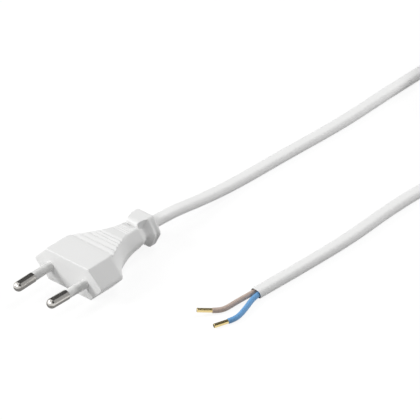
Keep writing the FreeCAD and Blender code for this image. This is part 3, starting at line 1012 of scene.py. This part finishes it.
def makePin(name, side):
    r = pins["diameter"] / 2
    core = pins["coreDiameter"] / 2
    edge = pins["edge"]
    tipCentre = r - pins["length"]
    stations = []
    for k in range(pins["domeSteps"] + 1):
        a = math.pi / 2 * k / pins["domeSteps"]
        stations.append((tipCentre - r * math.cos(a), max(r * math.sin(a), pins["poleRadius"])))
    shoulder = -pins["sleeveLength"]
    crimpStart = flangeBack + pins["shankLength"]
    crimpEnd = crimpStart + pins["crimpLength"]
    bore = pins["crimpBore"] / 2
    stations += [(shoulder - edge, r), (shoulder, r - edge), (shoulder, core), (flangeFront, core)]
    for start, end, diameter in ((flangeFront, flangeBack, "flangeDiameter"),
                                 (flangeBack, crimpStart, "shankDiameter"),
                                 (crimpStart, crimpEnd, "crimpDiameter")):
        radius = pins[diameter] / 2
        stations += [(start, radius - edge), (start + edge, radius)]
        stations += [(end - edge, radius), (end, radius - edge)]
    boreEnd = crimpEnd - pins["crimpBoreDepth"]
    stations += [(crimpEnd, bore + pins["boreEdge"]), (crimpEnd - pins["boreEdge"], bore)]
    stations += [(boreEnd, bore), (boreEnd, pins["poleRadius"])]
    obj = ringsToMesh(name, turnedRings(stations, pins["segments"]), sharpAngle=35)
    obj.data.transform(pinFrame(side))
    obj.data.materials.append(pinPlating)
    return obj


def makePinSleeve(name, side):
    r = pins["sleeveDiameter"] / 2
    core = pins["coreDiameter"] / 2
    start = -pins["sleeveLength"]
    edge = pins["edge"]
    stations = [(start, core), (start, r - edge), (start + edge, r), (flangeFront - edge, r),
                (flangeFront, r - edge), (flangeFront, core)]
    obj = ringsToMesh(name, turnedRings(stations, pins["segments"]), False, False, loopRings=True)
    obj.data.transform(pinFrame(side))
    obj.data.materials.append(sleevePlastic)
    return obj


# The lead's seat is cut into the rear of the rim
def cutFromBody(body, cutter):
    modifier = body.modifiers.new("seat", "BOOLEAN")
    modifier.operation = "DIFFERENCE"
    modifier.solver = "EXACT"
    modifier.object = cutter
    bakeModifiers(body)
    bpy.data.meshes.remove(cutter.data)


def makeBody():
    body = ringsToMesh("plugBody", makeBodyRings(), sharpAngle=60)
    pressRibs(body)
    outline = leadOutline(-plug["seatClear"])
    way = Vector((0, 1, 0))
    ends = [Vector((0, exitY + y, midZ)) for y in (-plug["seatDepth"], plug["seatPast"])]
    cutFromBody(body, ringsToMesh("leadSeat", [flatRing(p, way, 0.0, outline) for p in ends]))
    smoothMesh(body.data, sharpAngle=38)
    return body


plugBody = makeBody()
linePin = makePin("linePin", -1)
neutralPin = makePin("neutralPin", 1)
linePinSleeve = makePinSleeve("linePinSleeve", -1)
neutralPinSleeve = makePinSleeve("neutralPinSleeve", 1)
print("plug body faces", len(plugBody.data.polygons))


# Tie round the coil: a strap along a rounded loop, with small ridges set across it
tie = {
    "width": 4.0,
    "thickness": 0.9,
    "clear": 0.05,
    "reach": 6.0,                           # turns this near to the tie's middle are inside its loop
    "corner": 1.5,
    "cornerSteps": 8,
    "edgeShare": 0.3,                       # of the thickness
    "edgeSteps": 3,
    "ridgeCount": 52,
    "ridgeHeight": 0.16,
    "ridgeWidth": 0.32,
    "ridgeShare": 0.72,                     # of the strap's width
    "weld": 1e-6,                           # metres
}


def makeTieTree():
    tree, add, calc, ins, outs = shapeTree("tieStrap", {
        "Loop Width": 0.015, "Loop Height": 0.011, "Corner": 0.0015, "Strap Width": 0.004,
        "Thickness": 0.001, "Ridges": 50, "Ridge Height": 0.0002, "Ridge Width": 0.0003})
    loop = add("GeometryNodeCurvePrimitiveQuadrilateral", {
        "Width": ins["Loop Width"], "Height": ins["Loop Height"]})
    soft = add("GeometryNodeFilletCurve", {
        "Curve": loop, "Radius": ins["Corner"], "Count": tie["cornerSteps"]}, mode="POLY")
    strap = add("GeometryNodeCurvePrimitiveQuadrilateral", {
        "Width": ins["Thickness"], "Height": ins["Strap Width"]})
    edge = calc("MULTIPLY", ins["Thickness"], tie["edgeShare"])
    profile = add("GeometryNodeFilletCurve", {
        "Curve": strap, "Radius": edge, "Count": tie["edgeSteps"]}, mode="POLY")
    band = add("GeometryNodeCurveToMesh", {"Curve": soft, "Profile Curve": profile})
    spots = add("GeometryNodeCurveToPoints", {"Curve": soft, "Count": ins["Ridges"]}, mode="COUNT")
    bar = calc("MULTIPLY", ins["Strap Width"], tie["ridgeShare"])
    size = add("ShaderNodeCombineXYZ", {0: ins["Ridge Height"], 1: bar, 2: ins["Ridge Width"]})
    ridge = add("GeometryNodeMeshCube", {"Size": size})
    lift = calc("MULTIPLY", ins["Thickness"], 0.5)
    out = add("ShaderNodeCombineXYZ", {0: lift})
    lifted = add("GeometryNodeTransform", {"Geometry": ridge, "Translation": out})
    placed = add("GeometryNodeInstanceOnPoints", {
        "Points": spots, "Instance": lifted, "Rotation": spots.outputs["Rotation"]})
    joined = add("GeometryNodeJoinGeometry")
    feed(tree, band, joined.inputs[0])
    feed(tree, placed, joined.inputs[0])
    return closeTree(tree, ins, outs, joined)


def makeTie():
    spots = []
    for p in leadLine:
        away = Vector((p.x - coilX, p.y - coil["centreY"]))
        if abs(away.x) < tie["reach"] and away.y > coilInner / 2:
            spots.append((away.length, p.z))
    inner = min(r for r, z in spots) - lead["thickness"] / 2
    outer = max(r for r, z in spots) + lead["thickness"] / 2
    low = min(z for r, z in spots) - lead["width"] / 2
    high = max(z for r, z in spots) + lead["width"] / 2
    grow = 2 * tie["clear"] + tie["thickness"]
    obj = linkMesh("coilTie", bpy.data.meshes.new("coilTie"))
    addTree(obj, makeTieTree(), {
        "Loop Width": (outer - inner + grow) * mm,
        "Loop Height": (high - low + grow) * mm,
        "Corner": tie["corner"] * mm,
        "Strap Width": tie["width"] * mm,
        "Thickness": tie["thickness"] * mm,
        "Ridges": tie["ridgeCount"],
        "Ridge Height": tie["ridgeHeight"] * mm,
        "Ridge Width": tie["ridgeWidth"] * mm,
        "Material": tiePlastic,
    })
    bakeModifiers(obj)
    mergeDoubles(obj, tie["weld"])
    smoothMesh(obj.data, sharpAngle=35)
    place = Matrix.Rotation(math.pi / 2, 4, "X")          # the loop stands across the turns
    place = Matrix.Rotation(math.radians(coil["tieAngle"]), 4, "Z") @ place
    place.translation = Vector((coilX, coil["centreY"] + (inner + outer) / 2, (low + high) / 2)) * mm
    obj.data.transform(place)
    print("tie round", round(inner, 2), round(outer, 2), round(low, 2), round(high, 2))
    return obj


coilTie = makeTie()


# Inner pieces keep their CAD shape and get their own finish
innerFinish = {
    "pin_bridge": bridgePlastic,
    "brown_core_in_plug": brownSolid,
    "blue_core_in_plug": blueSolid,
    "line_conductor_in_crimp": copperStrand,
    "neutral_conductor_in_crimp": copperStrand,
}
for nodeName, finish in innerFinish.items():
    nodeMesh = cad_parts[nodeName].data
    nodeMesh.materials.clear()
    nodeMesh.materials.append(finish)


# Each piece, the name of its slot, and the nodes that it stands for and hides
dressed = [
    (plugBody, "body_pvc", ["plug_body"]),
    (linePin, "pin_plating", ["line_pin"]),
    (neutralPin, "pin_plating", ["neutral_pin"]),
    (linePinSleeve, "sleeve_plastic", ["line_pin_sleeve"]),
    (neutralPinSleeve, "sleeve_plastic", ["neutral_pin_sleeve"]),
    (leadJacket, "jacket_pvc", ["cord_plug_run", "cord_coil", "cord_free_run"]),
    (coilTie, "tie_plastic", ["coil_tie"]),
    (brownCore, "brown_insulation", ["brown_core"]),
    (blueCore, "blue_insulation", ["blue_core"]),
    (brownEndSleeve, "end_sleeve_brass", ["brown_end_sleeve"]),
    (blueEndSleeve, "end_sleeve_brass", ["blue_end_sleeve"]),
    (brownStrands, "copper_strand", ["brown_conductor"]),
    (blueStrands, "copper_strand", ["blue_conductor"]),
]
for piece, slotName, nodeNames in dressed:
    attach(piece, "root")
    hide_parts(*nodeNames)
print("pieces dressed:", len(dressed))


# Floor, light and camera
studio = {
    "floorSize": 9.0,
    "floorDrop": 0.0001,                    # below the part's underside, in metres
    "floorShade": 0.52,
    "floorGlow": 0.9,                       # what the camera and mirrors see on top of the lit floor
    "floorLit": 0.23,
    "ambient": 0.1,
    "aim": (0.02, 0.06, 0.0),
}
lamps = {
    "keyLamp": {"from": (-0.89, -0.89, 0.82), "size": 0.65, "power": 16.0, "mirrored": True},
    "frontLamp": {"from": (0.0, -1.26, 0.82), "size": 0.4, "power": 4.7, "mirrored": True},
    "sideLamp": {"from": (0.68, 1.18, 0.63), "size": 0.3, "power": 9.6, "mirrored": False},
    "rearLamp": {"from": (0.0, 0.7, 1.33), "size": 0.5, "power": 5.8, "mirrored": False},
}
cards = {                                   # glowing grey cards on an arc about the pins' axis, seen only in mirrors: painted reflections
    "radius": 0.6,
    "steps": 24,
    "arcs": {                               # degrees up from +X, then the ends along Y in metres
        "upperCard": {"shade": 0.1, "turn": (68, 176), "run": (0.15, 0.8)},
        "middleCard": {"shade": 0.5, "turn": (-5, 68), "run": (0.2, 0.8)},
        "sideCard": {"shade": 0.02, "turn": (18, 70), "run": (-0.22, 0.2)},
    },
    "lowerShade": 0.32,
    "lowerBox": (-22.0, -48.0, 22.0, -11.5),  # millimetres, just above the floor: a painted reflection of the floor's shadow under the pins
    "lowerHeight": 0.15,
}
photoView = {
    "azimuth": 46.7,
    "elevation": 33.4,
    "roll": -4.4,
    "distance": 2.0,                        # metres
    "pixelsPerMm": 2.638,                   # at the target
    "imageWidth": 420,
    "sensor": 36.0,
    "target": (3.53, 59.9, 0.0),            # millimetres
}


def seenDirectly(tree):
    path = addNode(tree, "ShaderNodeLightPath").outputs
    mirror = mathNode(tree, "MAXIMUM", path["Is Glossy Ray"], path["Is Transmission Ray"])
    return mathNode(tree, "MAXIMUM", path["Is Camera Ray"], mirror)


def makeWorld():
    world = bpy.data.worlds.new("studioAir")
    world.use_nodes = True
    tree = world.node_tree
    strength = mixValue(tree, seenDirectly(tree), studio["ambient"], 1.0)
    feed(tree, (1, 1, 1, 1), tree.nodes["Background"].inputs["Color"])
    feed(tree, strength, tree.nodes["Background"].inputs["Strength"])
    scene.world = world


# Stage pieces are flat, each with a material of its own that isn't sampled as a lamp
def stageMesh(name, spots, faces):
    mesh = bpy.data.meshes.new(name)
    mesh.from_pydata(spots, [], faces)
    material = bpy.data.materials.new(name)
    material.use_nodes = True
    material.node_tree.nodes.clear()
    material.cycles.emission_sampling = "NONE"
    mesh.materials.append(material)
    return linkMesh(name, mesh), material.node_tree


def flatSpots(x0, y0, x1, y1, z):
    return [(x0, y0, z), (x1, y0, z), (x1, y1, z), (x0, y1, z)]


def makeFloor():
    h = studio["floorSize"] / 2
    floor, tree = stageMesh("studioFloor", flatSpots(-h, -h, h, h, -studio["floorDrop"]), [(0, 1, 2, 3)])
    shade = studio["floorShade"]
    dim = shade * studio["floorLit"]
    paper = addNode(tree, "ShaderNodeBsdfDiffuse", {"Color": (shade, shade, shade, 1)})
    faint = addNode(tree, "ShaderNodeBsdfDiffuse", {"Color": (dim, dim, dim, 1)})
    glow = addNode(tree, "ShaderNodeEmission", {"Strength": studio["floorGlow"]})
    shown = addNode(tree, "ShaderNodeAddShader", {0: faint, 1: glow})
    mix = addNode(tree, "ShaderNodeMixShader", {0: seenDirectly(tree), 1: paper, 2: shown})
    addNode(tree, "ShaderNodeOutputMaterial", {"Surface": mix})


def makeLamp(name, setting):
    lamp = bpy.data.lights.new(name, "AREA")
    lamp.shape = "DISK"
    lamp.size = setting["size"]
    lamp.energy = setting["power"]
    obj = bpy.data.objects.new(name, lamp)
    place = Vector(setting["from"])
    obj.location = Vector(studio["aim"]) + place
    obj.rotation_mode = "QUATERNION"
    obj.rotation_quaternion = place.to_track_quat("Z", "Y")
    obj.visible_camera = False
    obj.visible_glossy = setting["mirrored"]
    scene.collection.objects.link(obj)


def makeCamera():
    a = math.radians(photoView["azimuth"])
    e = math.radians(photoView["elevation"])
    roll = math.radians(photoView["roll"])
    back = Vector((math.sin(a) * math.cos(e), -math.cos(a) * math.cos(e), math.sin(e)))
    right = Vector((math.cos(a), math.sin(a), 0))
    up = back.cross(right)
    camRight = right * math.cos(roll) + up * math.sin(roll)
    camUp = up * math.cos(roll) - right * math.sin(roll)
    camera = bpy.data.cameras.new("photoCamera")
    camera.sensor_width = photoView["sensor"]
    distanceMm = photoView["distance"] / mm
    camera.lens = photoView["pixelsPerMm"] * distanceMm * photoView["sensor"] / photoView["imageWidth"]
    obj = bpy.data.objects.new("photoCamera", camera)
    place = Matrix((camRight, camUp, back)).transposed().to_4x4()
    place.translation = Vector(photoView["target"]) * mm + back * photoView["distance"]
    obj.matrix_world = place
    scene.collection.objects.link(obj)
    scene.camera = obj


# A card glows with its shade and is seen only by mirror rays: a painted reflection, not a lamp
def makeCard(name, shade, spots, faces):
    card, tree = stageMesh(name, spots, faces)
    glow = addNode(tree, "ShaderNodeEmission", {"Strength": shade})
    addNode(tree, "ShaderNodeOutputMaterial", {"Surface": glow})
    for ray in ("camera", "diffuse", "shadow", "transmission"):
        setattr(card, "visible_" + ray, False)


def makeCards():
    steps = cards["steps"]
    for name, arc in cards["arcs"].items():
        spots = []
        for k in range(steps + 1):
            a = math.radians(between(*arc["turn"], k / steps))
            x = math.cos(a) * cards["radius"]
            z = math.sin(a) * cards["radius"] + midZ * mm
            spots += [(x, y, z) for y in arc["run"]]
        faces = [(2 * k, 2 * k + 1, 2 * k + 3, 2 * k + 2) for k in range(steps)]
        makeCard(name, arc["shade"], spots, faces)
    corners = [v * mm for v in cards["lowerBox"]]
    spots = flatSpots(*corners, cards["lowerHeight"] * mm)
    makeCard("lowerCard", cards["lowerShade"], spots, [(0, 1, 2, 3)])


makeWorld()
makeFloor()
makeCards()
for lampName, lampSetting in lamps.items():
    makeLamp(lampName, lampSetting)
makeCamera()
print("studio ready")
